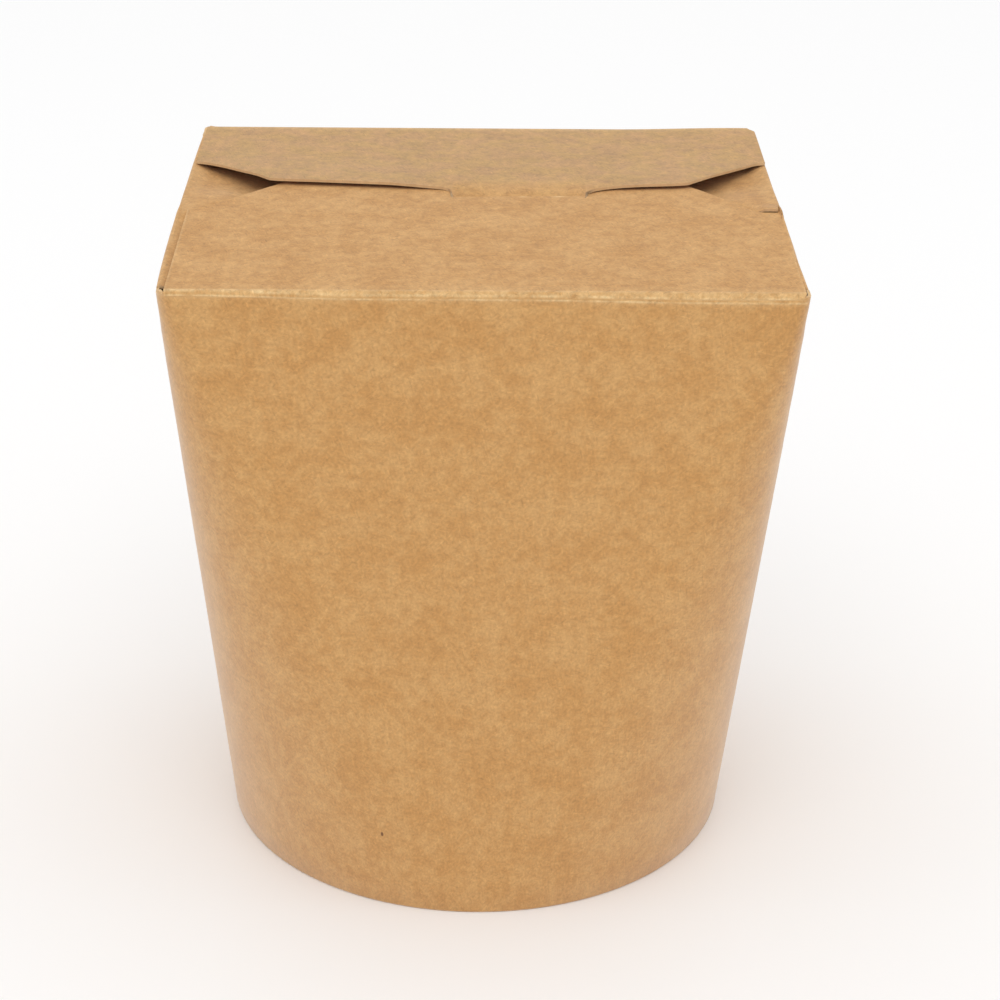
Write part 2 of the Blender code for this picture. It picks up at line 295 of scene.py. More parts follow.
def ridge(panel, share, z):
    """The crease of a flap's fold stands a little proud of the wall, in two soft ridges."""
    if panel in ("right", "left"):
        return 0.0
    across = share * TOP_WIDTH / 2
    drop = TOP_HEIGHT - z
    low = crease_line(panel, across)
    rise = 0.07 * bell(drop, low, 0.2 * MM) + 0.05 * smooth((low - drop) / (0.4 * MM))
    rise -= 0.04 * bell(drop, low - CREASE_GROOVE, 0.12 * MM)
    return rise * MM * smooth((1 - abs(share)) / 0.03)


def crease_wear(panel, across, z):
    """How much paler the board is where it was creased. Below 0 it is darker."""
    drop = TOP_HEIGHT - z
    if panel in ("right", "left"):
        return 0.3 * smooth((1.6 * MM - drop) / (0.6 * MM))
    low = crease_line(panel, across)
    lower = 1.05 + 0.9 * noise.noise(Vector((across * 330, 0.0, 1.3)))
    upper = 0.5 + 1.1 * noise.noise(Vector((across * 260, 0.0, 6.1)))
    lines = lower * bell(drop, low, 0.14 * MM) + upper * bell(drop, low - CREASE_UPPER, 0.17 * MM)
    dark = 0.2 * bell(drop, low - CREASE_GROOVE, 0.09 * MM)
    face = 0.75 * smooth((low - 0.1 * MM - drop) / (0.3 * MM))
    return lines - dark + max(face, 0.3 * smooth((low + 1.0 * MM - drop) / (1.0 * MM)))


def place(panel, across, out, z):
    _, (ox, oy), (ax, ay) = PANELS[panel]
    return ox * out + ax * across, oy * out + ay * across, z


def round_length(along):
    """Sheet coordinate of a place round the wall, which starts at the front left corner."""
    length, place_now = 0.0, 5.0
    for width in (EIGHTH_FRONT, EIGHTH_FRONT, EIGHTH_SIDE, EIGHTH_SIDE) * 2:
        step = min(1.0, along - place_now)
        if step <= 0:
            break
        length += width * step
        place_now += 1
    return length


class Sheet:
    """The folded sheet's vertices and faces, with what the material reads at each vertex."""

    def __init__(self):
        self.points, self.flat, self.wear, self.tone, self.flap = [], [], [], [], []
        self.faces = []

    def vertex(self, point, flat, wear=0.0, tone=0.0, flap=0.0):
        self.points.append(point)
        self.flat.append((flat[0], flat[1], 0.0))
        self.wear.append(wear)
        self.tone.append(tone)
        self.flap.append(flap)
        return len(self.points) - 1

    def band(self, row, following, skip=()):
        """Faces between two rows of vertices, apart from those that are cut open."""
        for k in range(len(row) - 1):
            if k not in skip:
                self.faces.append((row[k], row[k + 1], following[k + 1], following[k]))


def column_shares(panel):
    """Each column's place between the panel's corners, from -1 to 1."""
    columns = COLUMNS[panel]
    return [c / columns[-1] for c in columns]


def wall_loop():
    """Each column round the wall: its place, panel and share, from the front left corner."""
    loop = []
    for panel, (middle, _, _) in PANELS.items():
        loop += [(middle + share, panel, share) for share in column_shares(panel)[:-1]]
    return loop


def hem_rows():
    """Radius and height of the rows from the turned-in edge, under the foot, to the outside."""
    inner = FOOT_RADIUS - HEM_WIDTH
    rows = [(inner, z * MM) for z in HEM_HEIGHTS]
    for side, middle in ((-1, inner + HEM_ROUNDING), (1, FOOT_RADIUS - HEM_ROUNDING)):
        for step in range(HEM_STEPS + 1):
            lean = step / HEM_STEPS if side > 0 else 1 - step / HEM_STEPS
            turn = lean * math.pi / 2
            radius = middle + side * HEM_ROUNDING * math.sin(turn)
            rows.append((radius, HEM_ROUNDING * (1 - math.cos(turn))))
    return rows[:-1]


def pucker(along, z):
    """The turned-in edge has less room than the board needs, so it gathers in small folds."""
    waves = math.sin(along / TURN * math.tau * PUCKERS + 2 * math.sin(along * 5.0))
    return 0.07 * MM * waves * smooth((z - 0.8 * MM) / (2.2 * MM))


def build_wall(sheet, loop):
    """Rows from the hem up to where the flaps are cut apart. Returns the last one."""
    rows = []
    length = HEM_START
    last = None
    for radius, z in hem_rows():
        if last:
            length += math.hypot(radius - last[0], z - last[1])
        last = radius, z
        row = []
        for along, _, _ in loop:
            turn = along / TURN * math.tau
            inside = radius < FOOT_RADIUS - HEM_WIDTH + 1e-6
            reach = radius + (pucker(along, z) if inside else 0.0)
            wear = 0.5 * smooth((0.35 * MM - z) / (0.3 * MM))
            point = (reach * math.cos(turn), reach * math.sin(turn), z)
            row.append(sheet.vertex(point, (round_length(along), length), wear))
        rows.append(row)
    plain = WALL_TOP - HEM_ROUNDING
    heights = [HEM_ROUNDING + plain * k / WALL_STEPS for k in range(WALL_STEPS + 1)]
    heights += [TOP_HEIGHT - drop * MM for drop in CREASE_DROPS]
    for z in [*heights, SPLIT_Z]:
        row = []
        for along, panel, share in loop:
            wear = crease_wear(panel, share * COLUMNS[panel][-1], z)
            point = wall_point(along, panel, share, z)
            row.append(sheet.vertex(point, (round_length(along), z), wear))
        rows.append(row)
    for row, following in zip(rows, rows[1:]):
        sheet.band(row + row[:1], following + following[:1])
    return rows[-1]


def fold_rows(panel):
    """Height and distance out of each row up over a fold."""
    side = panel in ("right", "left")
    radius = SIDE_FOLD_RADIUS if side else FLAP_FOLD_RADIUS
    out = TOP_WIDTH / 2 if side else TOP_DEPTH / 2 + FOLD_PROUD
    face = SEAT_Z - PRESSED if side else TOP_HEIGHT
    foot = face - radius
    steps = 6 if side else 9
    rows = [(foot, out)] if side else [(SPLIT_Z + 0.1 * MM, out), (foot, out)]
    for step in range(1, steps + 1):
        turn = step / steps * math.pi / 2
        rows.append((foot + radius * math.sin(turn), out - radius * (1 - math.cos(turn))))
    return rows


def flap_end(panel, side, inward):
    """How far a flap reaches to each side, at a distance in from its fold."""
    if panel == "front":
        if side < 0:
            return -47.65 * MM
        return 48.25 * MM + 0.65 * MM * smooth((inward - 6 * MM) / (28 * MM))
    if panel == "back":
        if side > 0:
            return 48.45 * MM + 0.1 * MM * smooth(inward / (18 * MM))
        return -48.0 * MM - 1.1 * MM * smooth(inward / (2.2 * MM))
    return side * (FOLD_REACH[panel] - SIDE_TAPER * smooth((inward - 2 * MM) / (26 * MM)))


def tongue_share(x, y):
    """0 where the flaps lie flat, 1 where the tongue is at the slit."""
    into = min(x - TONGUE_ENDS[0], TONGUE_ENDS[1] - x)
    along = (TONGUE_START - y) / (TONGUE_START - slit_place(x))
    return smooth(into / TONGUE_SWAY) * min(1.3, max(0.0, along)) ** 1.3


def slit_place(x):
    """Y of the slit at x. Past the tongue's ends it runs straight on."""
    return SLIT_Y + SLIT_SLANT * (min(TONGUE_ENDS[1], max(TONGUE_ENDS[0], x)) - TONGUE_MIDDLE)


def front_z(x, y):
    """The front flap lies flat, and behind its slit the tongue presses it down."""
    z = TOP_HEIGHT + 0.03 * MM * noise.noise(Vector((x * 40, y * 40, 0.7)))
    if y > slit_place(x) + SLIT_WIDTH / 2:
        z -= (TONGUE_DROP + PRESSED) * tongue_share(x, y)
    if y > SLIT_Y + 4.5 * MM:
        z -= 2 * PRESSED
    return z


def back_rise(x):
    """How far the back fold stands over the front flap's face. Its left end is crumpled up."""
    crumple = 0.27 * MM * bell(x, -47.65 * MM, 0.35 * MM)
    return 0.1 * MM + 0.4 * MM * smooth((x - 24 * MM) / (22 * MM)) + crumple


def back_lift(x):
    """How far the back flap's edge stands off the front flap."""
    if x < TONGUE_MIDDLE:
        growth = (TONGUE_ENDS[0] - x) / LIFT_GROWTH
        return LIFTS[0] * (0.12 * smooth(growth * 9) + 0.88 * smooth(growth))
    growth = (x - TONGUE_ENDS[1]) / LIFT_GROWTH
    return LIFTS[1] * (0.35 * smooth(growth * 9) + 0.65 * smooth(growth))


def back_z(x, y):
    """The back flap climbs onto the front one, is lifted at its edge, and its tongue dips."""
    from_fold = TOP_DEPTH / 2 - FLAP_FOLD_RADIUS - y
    from_tip = BACK_TIP - abs(x)
    edge_y = edge_at(BACK_BODY_EDGE, x)
    climbed = smooth(from_fold / BACK_CLIMB)
    rise = back_rise(x) * (1 - climbed) + BOARD * climbed * smooth(from_tip / SIDE_CLIMB)
    near_edge = smooth(1 - (y - edge_y) / LIFT_LENGTH) * smooth(from_tip / SIDE_CLIMB)
    rise += back_lift(x) * near_edge
    rise += 0.05 * MM * noise.noise(Vector((x * 45, y * 45, 5.2))) * climbed
    return TOP_HEIGHT + rise - TONGUE_DROP * tongue_share(x, y)


def raised(panel, y, inward):
    """0 to 1 where a side flap stands up, because no other flap holds it down."""
    x = TOP_WIDTH / 2 - SIDE_FOLD_RADIUS - inward
    behind = y - edge_at(FRONT_EDGE, x if panel == "right" else -x)
    held = smooth((12 * MM - inward) / (6 * MM)) * smooth((16 * MM - y) / (16 * MM))
    return held * smooth((behind + 5 * MM) / (5 * MM))


def lip(panel, y, inward):
    """0 to 1 where the right side flap stands up behind the front flap's shoulder."""
    if panel != "right" or y < LIP_Y:
        return 0.0
    return smooth((LIP_INWARD - inward) / (1.5 * MM)) * smooth((LIP_Y + LIP_LENGTH - y) / LIP_LENGTH)


def side_z(panel, y, inward):
    """The side flaps slope down inwards from their folds, more so under the back flap."""
    dip = SIDE_DIP * smooth(inward / (1.5 * MM))
    dip += SIDE_HOLLOW * smooth((inward - 0.5 * MM) / (3 * MM)) * smooth(y / (10 * MM))
    z = SEAT_Z - PRESSED - dip - SIDE_SLOPE * inward
    z += (TOP_HEIGHT + SIDE_RAISED - z) * raised(panel, y, inward)
    return z + (TOP_HEIGHT + LIP_HEIGHT - z) * lip(panel, y, inward)


def ragged(x, seed):
    """A cut edge isn't quite even."""
    fine = noise.noise(Vector((x * 1400, seed, 0.0)))
    coarse = noise.noise(Vector((x * 260, seed, 4.0)))
    return 0.02 * MM * fine + 0.04 * MM * coarse


def front_rows(start):
    """Y of each row of the front flap, with one on each side of the slit."""
    slit = SLIT_Y / MM
    return spread(
        (-start / MM, 0.5), (-39.0, 1.7), (0.0, 0.8), (slit, SLIT_WIDTH / MM),
        (slit + SLIT_WIDTH / MM, 0.6), (6.0, 1.2), (11.4, 0.3), (FRONT_REACH, 1),
    )


def front_place(x, y_row, start):
    """Y of a row of the front flap. Rows keep their shares of the way to the free edge."""
    edge = rounded_edge_at(FRONT_EDGE, x, 0.4 * MM) + ragged(x, 1.0)
    slant = slit_place(x) - SLIT_Y
    slant *= smooth((y_row + 8 * MM) / (10 * MM)) * smooth((11.5 * MM - y_row) / (6 * MM))
    return -start + (edge + start) * (y_row + start) / (FRONT_REACH * MM + start) + slant


def back_place(x, share, start):
    """Y of a row of the back flap. The last rows carry on over the tongue."""
    body = edge_at(BACK_BODY_EDGE, x)
    edge = rounded_edge_at(BACK_EDGE, x, 0.15 * MM) + ragged(x, 2.0)
    if TONGUE_ENDS[0] < x < TONGUE_ENDS[1]:
        edge -= 2.0 * MM * smooth(min(x - TONGUE_ENDS[0], TONGUE_ENDS[1] - x) / (1.5 * MM))
    near = body + 4.5 * MM
    turning = 0.68
    if share <= turning:
        return start + (near - start) * share / turning
    return near + (edge - near) * (share - turning) / (1 - turning)


def flap_point(panel, share, row, start):
    """A flap's vertex, and how far in from the fold it is. Share is -1 to 1 across the flap."""
    side = 1 if share > 0 else -1
    if panel == "front":
        x = abs(flap_end(panel, side, EDGE_INWARD[panel])) * share
        y = front_place(x, row, start)
        inward = y + start
        x = abs(flap_end(panel, side, inward)) * share
        return (x, y, front_z(x, y)), inward
    if panel == "back":
        x = -abs(flap_end(panel, side, EDGE_INWARD[panel])) * share
        y = back_place(x, row, start)
        inward = start - y
        x = -abs(flap_end(panel, side, inward)) * share
        return (x, y, back_z(x, y)), inward
    inward = (start - SIDE_REACH) * row
    across = abs(flap_end(panel, side, inward)) * share
    out = start - inward + bow(panel, share * FOLD_SHARE, TOP_HEIGHT) * (1 - row)
    y = across if panel == "right" else -across
    under = WING_SLOPE * FOLD_REACH[panel] * max(0.0, abs(share) - 1)
    return place(panel, across, out, side_z(panel, y, inward) - under), inward


def flap_columns(panel):
    """First and last column that the flap's fold reaches."""
    inside = [k for k, c in enumerate(COLUMNS[panel]) if abs(c) <= FOLD_REACH[panel]]
    return inside[0], inside[-1]


def back_tone(panel, x, y):
    """The back flap is greyer than the rest, less so at its tongue."""
    if panel != "back":
        return 0.0
    beside = max(TONGUE_ENDS[0] - x, x - TONGUE_ENDS[1], 0.0)
    return 1 - 0.85 * smooth((13 * MM - y) / (9 * MM)) * smooth(1 - beside / (9 * MM))


def torn(x):
    """Two short places where the slit's edge is rubbed pale."""
    return 1.6 * bell(x, 12.9 * MM, 0.8 * MM) + 1.2 * bell(x, 6.9 * MM, 0.7 * MM)


def neck_painted_shade(x, y):
    """Painted shade on the tongue's narrow sides, for the dark gap where they go into the slit, more so
    on the right.
    """
    low = 1 - smooth((y - 5.4 * MM) / (1.0 * MM))
    left = 1.3 * bell(x, TONGUE_ENDS[0], 0.8 * MM)
    right = 2.4 * bell(x, TONGUE_ENDS[1], 0.9 * MM)
    return (left + right) * low


def build_fold(sheet, panel, columns, row):
    """Rows over a panel's fold. Returns the last one, how far out it is, and its place on the sheet."""
    folds = fold_rows(panel)
    top = folds[-1][0]
    last = folds[0]
    length = SPLIT_Z
    for z, out in folds:
        length += math.hypot(z - last[0], out - last[1])
        last = z, out
        up = (z - SPLIT_Z) / (top - SPLIT_Z)
        following = []
        for column in columns:
            share = column / columns[-1]
            across = column + (abs(flap_end(panel, share, 0.0)) * share - column) * smooth(up)
            proud = bow(panel, share * FOLD_SHARE, z) + ridge(panel, share, z)
            x, y, height = place(panel, across, out + proud, z)
            if panel == "back":
                height += back_rise(x) * up
            elif panel in ("right", "left"):
                height += (side_z(panel, y, 0.0) - top) * up
            wear = crease_wear(panel, column, z)
            tone = back_tone(panel, x, y) * up
            flat = (round_length(PANELS[panel][0]) + across, length)
            following.append(sheet.vertex((x, y, height), flat, wear, tone, smooth(up)))
        sheet.band(row, following)
        row = following
    return row, last[1], length


def flap_rows(panel, start):
    """Each row's place on a flap: Y on the front one, 0 to 1 in from the fold on the others."""
    if panel == "front":
        return front_rows(start)
    if panel == "back":
        return [k / BACK_ROWS for k in range(BACK_ROWS + 1)]
    return [(k / SIDE_ROWS) ** SIDE_CROWDING for k in range(SIDE_ROWS + 1)]


def flap_wear(panel, column, row_place, point, inward, at_edge):
    """How much paler a flap is at its fold and its edges. The tongue's narrow sides are darker with
    painted shade, for the gap where they go into the slit.
    """
    wear = 0.15 * smooth((2.6 * MM - inward) / (1.2 * MM)) + 0.3 * at_edge
    if panel == "front":
        wear += 0.5 * smooth((abs(column) - 47.2 * MM) / (0.3 * MM))
        if abs(row_place - SLIT_Y) < 1e-6:
            wear += torn(point[0])
    # Painted shade: the tongue's narrow sides are darkened where they go into the dark gap of the slit.
    if panel == "back" and at_edge:
        wear -= neck_painted_shade(*point[:2])
    return wear


def cut_columns(panel, columns, previous, row_place, inward):
    """Which faces between two rows are cut open, for the front flap's slit or the side flap's."""
    gaps = list(enumerate(zip(columns, columns[1:])))
    if panel == "front" and previous < SLIT_Y + SLIT_WIDTH / 2 < row_place:
        low, high = TONGUE_ENDS[0] - SLIT_SPARE, TONGUE_ENDS[1] + SLIT_SPARE
        return [k for k, (begin, end) in gaps if begin > low and end < high]
    if panel == "right" and LIP_SLIT[0] < inward < LIP_SLIT[1]:
        return [k for k, (begin, end) in gaps if begin < LIP_Y <= end]
    return []


def build_flap(sheet, panel, split_row):
    """A panel's fold and flap, from the wall's last row on."""
    first, final = flap_columns(panel)
    columns = COLUMNS[panel][first:final + 1]
    reach = columns[-1]
    row, start, length = build_fold(sheet, panel, columns, split_row[first:final + 1])
    rows = flap_rows(panel, start)
    wings = [SIDE_WING, 2 * SIDE_WING] if panel in ("right", "left") else []
    for previous, row_place in zip(rows, rows[1:]):
        if wings and (start - SIDE_REACH) * row_place > WING_START:
            before = [-reach - wing for wing in reversed(wings)]
            columns = before + columns + [reach + wing for wing in wings]
            wings = []
        following = []
        for column in columns:
            point, inward = flap_point(panel, column / reach, row_place, start)
            wear = flap_wear(panel, column, row_place, point, inward, row_place == rows[-1])
            tone = back_tone(panel, *point[:2])
            flat = (round_length(PANELS[panel][0]) + column, length + inward)
            following.append(sheet.vertex(point, flat, wear, tone, 1.0))
        skip = cut_columns(panel, columns, previous, row_place, inward)
        if len(row) < len(following):
            sheet.band(row, following[2:-2], skip=[k - 2 for k in skip])
        else:
            sheet.band(row, following, skip=skip)
        row = following


def build_corner(sheet, loop, top_row, starts, panel):
    """The cut tip of the wall between two flaps, at the end of a panel."""
    after = NEXT[panel]
    begin = starts[panel] + flap_columns(panel)[1]
    finish = starts[after] + flap_columns(after)[0]
    if after == "front":
        finish += len(loop)
    picked = [k % len(loop) for k in range(begin, finish + 1)]
    row = [top_row[k] for k in picked]
    tip = TOP_HEIGHT + CORNER_TIPS[panel]
    for step in range(1, CORNER_STEPS + 1):
        following = []
        for number, k in zip(range(begin, finish + 1), picked):
            along, on_panel, share = loop[k]
            away = abs(column_place(loop[k]) - COLUMNS[on_panel][-1])
            ends = min(number - begin, finish - number)
            low = SEAT_Z - (CORNER_DROPS[panel] if ends else CORNER_END_DROP)
            high = low + (tip - low) * smooth(1 - away / CORNER_TIP_WIDTH)
            z = SPLIT_Z + (high - SPLIT_Z) * step / CORNER_STEPS
            point = wall_point(along, on_panel, share, z)
            wear = 0.5 + 0.4 * (step == CORNER_STEPS)
            following.append(sheet.vertex(point, (round_length(along), z), wear))
        sheet.band(row, following)
        row = following


def column_place(column):
    """Distance of a wall column from the middle of its panel."""
    _, panel, share = column
    return abs(share) * COLUMNS[panel][-1]


def new_object(name, points, faces):
    mesh = bpy.data.meshes.new(name)
    mesh.from_pydata(points, [], faces)
    item = bpy.data.objects.new(name, mesh)
    bpy.context.scene.collection.objects.link(item)
    return item


def add_attribute(mesh, name, kind, values):
    attribute = mesh.attributes.new(name, kind, "POINT")
    if kind == "FLOAT":
        attribute.data.foreach_set("value", values)
    else:
        attribute.data.foreach_set("vector", [c for value in values for c in value])


def bake_modifiers(item):
    depsgraph = bpy.context.evaluated_depsgraph_get()
    result = bpy.data.meshes.new_from_object(item.evaluated_get(depsgraph))
    item.modifiers.clear()
    item.data = result


def make_carton(board, cut_edge):
    """The folded sheet, with the board's thickness and its cut edges."""
    sheet = Sheet()
    loop = wall_loop()
    top_row = build_wall(sheet, loop)
    starts = {}
    start = 0
    for panel in PANELS:
        starts[panel] = start
        start += len(COLUMNS[panel]) - 1
    for panel in PANELS:
        count = len(COLUMNS[panel])
        split_row = [top_row[(starts[panel] + k) % len(top_row)] for k in range(count)]
        build_flap(sheet, panel, split_row)
        build_corner(sheet, loop, top_row, starts, panel)
    item = new_object("kraft_sheet", sheet.points, sheet.faces)
    add_attribute(item.data, "sheet", "FLOAT_VECTOR", sheet.flat)
    add_attribute(item.data, "wear", "FLOAT", sheet.wear)
    add_attribute(item.data, "tone", "FLOAT", sheet.tone)
    add_attribute(item.data, "flap", "FLOAT", sheet.flap)
    item.data.materials.append(board)
    item.data.materials.append(cut_edge)
    thickness = item.modifiers.new("Thickness", "SOLIDIFY")
    thickness.thickness = BOARD
    thickness.offset = -1
    thickness.material_offset_rim = 1
    bake_modifiers(item)
    item.data.shade_smooth()
    item.data.set_sharp_from_angle(angle=math.radians(40))
    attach(item, "root")
    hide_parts("carton")


def make_base(board):
    """The round board in the foot, with its rim turned down between the wall and the hem."""
    disc_top, rim_out, rim_foot = 4.7 * MM, 42.87 * MM, 1.0 * MM
    bend = 1.0 * MM
    outer = [(rim_out, rim_foot)]
    inner = [(rim_out - BOARD, rim_foot)]
    for step in range(6):
        turn = step / 5 * math.pi / 2
        c, s = math.cos(turn), math.sin(turn)
        middle_r, middle_z = rim_out - bend, disc_top - bend
        outer.append((middle_r + bend * c, middle_z + bend * s))
        inner.append((middle_r + (bend - BOARD) * c, middle_z + (bend - BOARD) * s))
    for radius in (38.0, 33.0, 28.0, 22.0, 16.0, 10.0, 5.0, 1.5):
        outer.append((radius * MM, disc_top))
        inner.append((radius * MM, disc_top - BOARD))
    segments = 192
    bm = bmesh.new()
    rings = []
    for radius, z in inner[::-1] + outer:
        ring = []
        for k in range(segments):
            turn = k / segments * math.tau
            x, y = radius * math.cos(turn), radius * math.sin(turn)
            sag = 0.06 * MM * noise.noise(Vector((x * 30, y * 30, 8.0)))
            ring.append(bm.verts.new((x, y, z + sag * smooth((41 * MM - radius) / (4 * MM)))))
        rings.append(ring)
    for ring, following in zip(rings, rings[1:]):
        for k in range(segments):
            after = (k + 1) % segments
            bm.faces.new((ring[k], ring[after], following[after], following[k]))
    bm.faces.new(rings[0])
    bm.faces.new(rings[-1])
    bmesh.ops.recalc_face_normals(bm, faces=bm.faces)
    mesh = bpy.data.meshes.new("base_board")
    bm.to_mesh(mesh)
    bm.free()
    item = bpy.data.objects.new("base_board", mesh)
    bpy.context.scene.collection.objects.link(item)
    flat = [(v.co.x + 0.5, v.co.y, 0.0) for v in mesh.vertices]
    add_attribute(mesh, "sheet", "FLOAT_VECTOR", flat)
    add_attribute(mesh, "wear", "FLOAT", [0.0] * len(flat))
    add_attribute(mesh, "tone", "FLOAT", [0.6] * len(flat))
    add_attribute(mesh, "flap", "FLOAT", [0.0] * len(flat))
    mesh.materials.append(board)
    mesh.shade_smooth()
    mesh.set_sharp_from_angle(angle=math.radians(40))
    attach(item, "root")
    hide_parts("base_disc")


class Nodes:
    """Short ways to add the nodes of a material."""

    def __init__(self, material):
        material.use_nodes = True
        self.tree = material.node_tree
        self.shader = self.tree.nodes["Principled BSDF"]

    def add(self, kind, inputs=(), **settings):
        node = self.tree.nodes.new(kind)
        for name, value in settings.items():
            setattr(node, name, value)
        for name, value in dict(inputs).items():
            self.put(node.inputs[name], value)
        return node

    def put(self, socket, value):
        if isinstance(value, bpy.types.NodeSocket):
            self.tree.links.new(value, socket)
        else:
            socket.default_value = value

    def attribute(self, name, output):
        return self.add("ShaderNodeAttribute", attribute_name=name).outputs[output]

    def maths(self, operation, *values, clamp=False):
        node = self.add("ShaderNodeMath", operation=operation, use_clamp=clamp)
        for socket, value in zip(node.inputs, values):
            self.put(socket, value)
        return node.outputs["Value"]

    def noise(self, vector, scale, detail=2.0, roughness=0.5, distortion=0.0):
        node = self.add(
            "ShaderNodeTexNoise",
            {"Vector": vector, "Scale": scale, "Detail": detail, "Roughness": roughness,
             "Distortion": distortion},
        )
        return node.outputs["Fac"]

    def mapping(self, vector, turn_deg, scale, shift=(0.0, 0.0, 0.0)):
        node = self.add(
            "ShaderNodeMapping",
            {"Vector": vector, "Location": shift, "Rotation": (0.0, 0.0, math.radians(turn_deg)),
             "Scale": scale},
        )
        return node.outputs["Vector"]

    def ramp(self, value, low, high, to_low=0.0, to_high=1.0):
        node = self.add(
            "ShaderNodeMapRange",
            {"Value": value, "From Min": low, "From Max": high, "To Min": to_low, "To Max": to_high},
            interpolation_type="SMOOTHSTEP",
        )
        return node.outputs["Result"]

    def mix(self, factor, a, b, blend="MIX"):
        node = self.add("ShaderNodeMix", data_type="RGBA", blend_type=blend)
        self.put(node.inputs[0], factor)
        self.put(node.inputs[6], a)
        self.put(node.inputs[7], b)
        return node.outputs[2]


def colour(red, green, blue):
    return red, green, blue, 1.0


# Dark specks in the front: place on the sheet, half width, half height, and how dark
SPECKS = (
    (23.0 * MM, 14.5 * MM, 0.34 * MM, 0.55 * MM, 0.95),
    (6.7 * MM, 30.7 * MM, 0.4 * MM, 0.25 * MM, 0.25),
)


def fibres(nodes, sheet, turn_deg, shift):
    """Long thin fibres lying one way."""
    turned = nodes.mapping(sheet, turn_deg, (1.0, 1.0, 1.0))
    vector = nodes.mapping(turned, 0.0, (700.0, 4600.0, 1.0), (shift, shift * 0.37, 0.0))
    return nodes.noise(vector, 1.0, detail=1.0, roughness=0.5, distortion=0.4)


